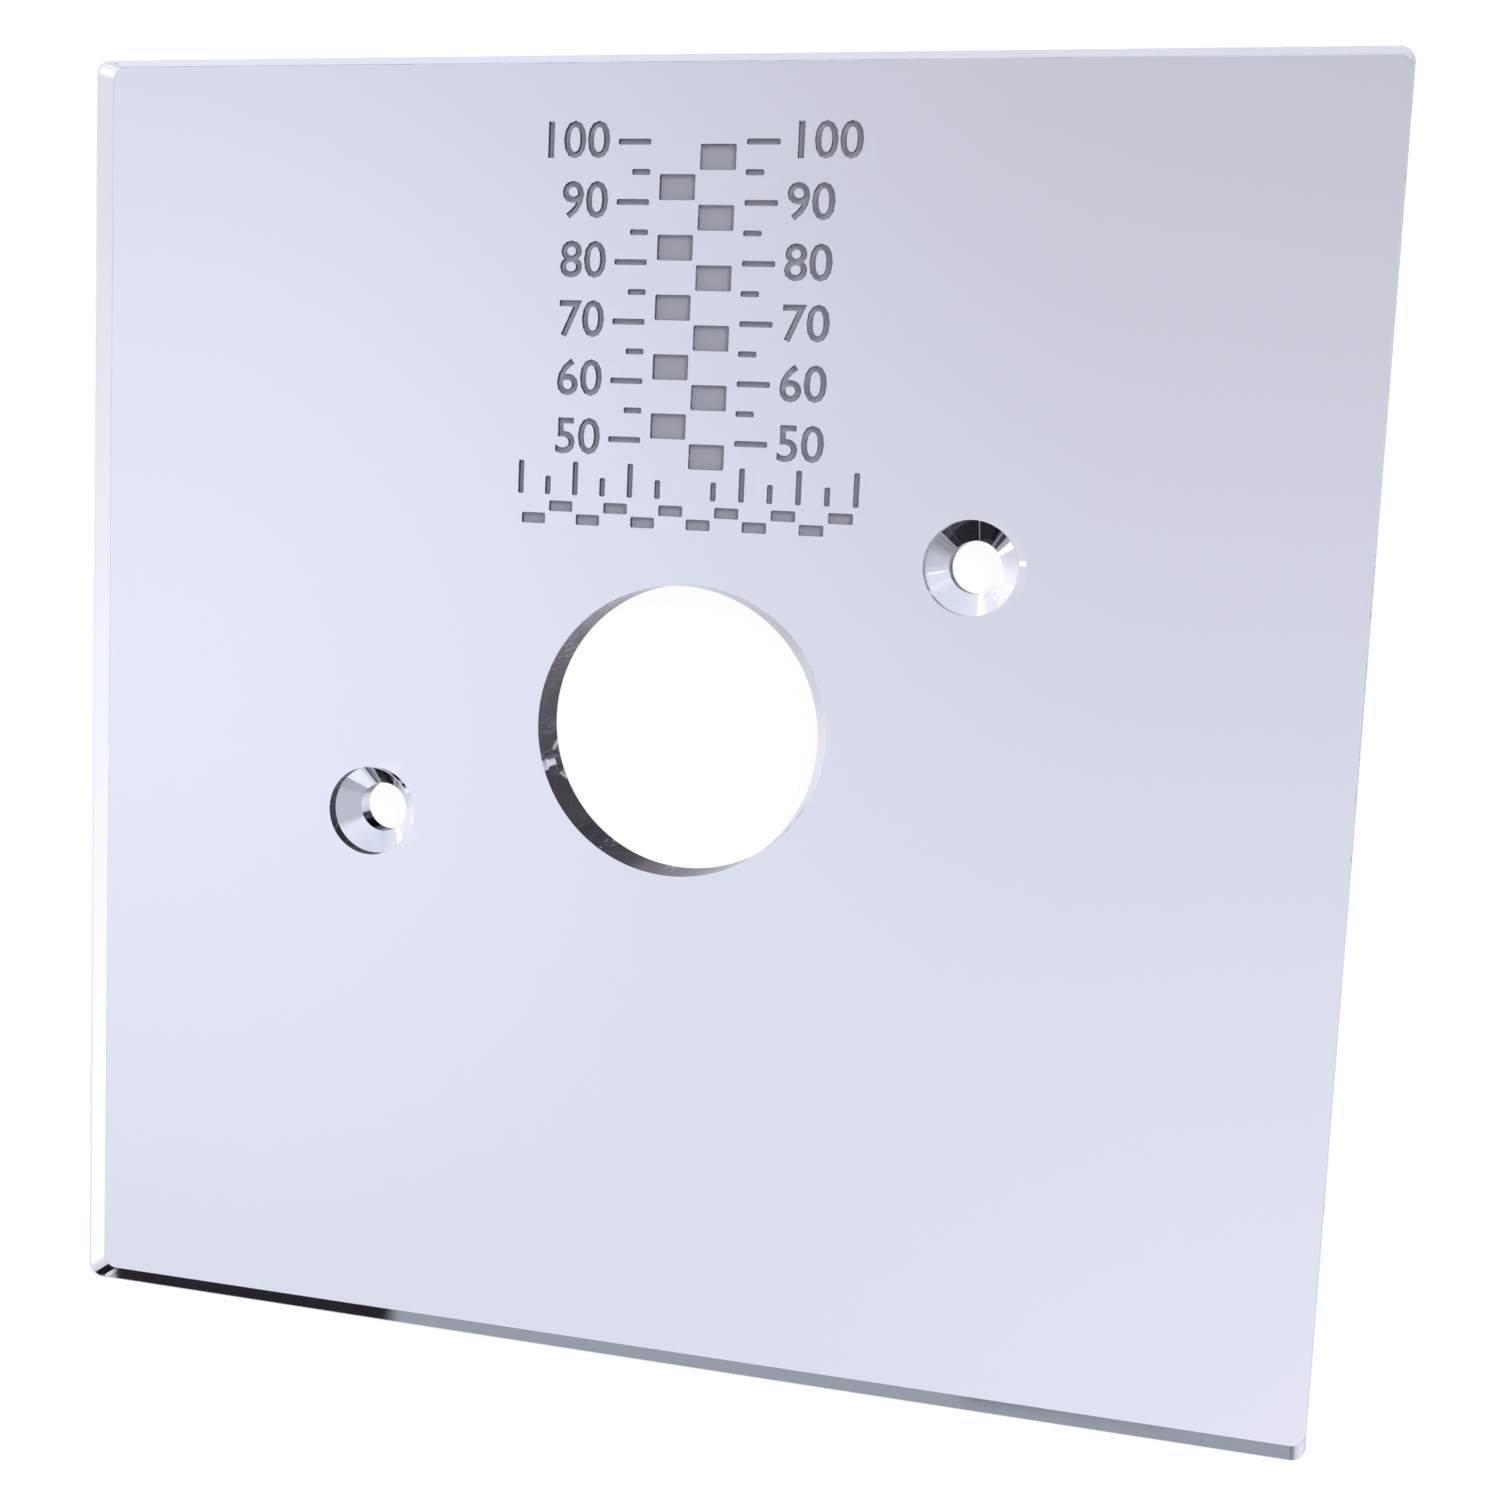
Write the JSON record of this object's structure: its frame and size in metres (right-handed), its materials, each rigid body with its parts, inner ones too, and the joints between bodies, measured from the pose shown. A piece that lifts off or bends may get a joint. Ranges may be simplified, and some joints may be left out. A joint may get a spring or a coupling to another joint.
{
  "type": "router base plate",
  "caption": "Square clear plastic plate that screws under a hand-held router, with a round bit hole through its centre and countersunk screw holes.",
  "frame": {"origin": "centre of the bit hole on the lower face, the flat face that seats on the router", "axes": "+Z out of the countersunk work face, +X and +Y along the sheet's edges, with the one screw hole at +X +Y and the other at -X -Y"},
  "size_m": [0.2286, 0.2286, 0.0095],
  "materials": {
    "clear_plastic": "clear sheet with polished faces and edges"
  },
  "bodies": {
    "root": {"base_plate": "clear_plastic"}
  },
  "joints": []
}
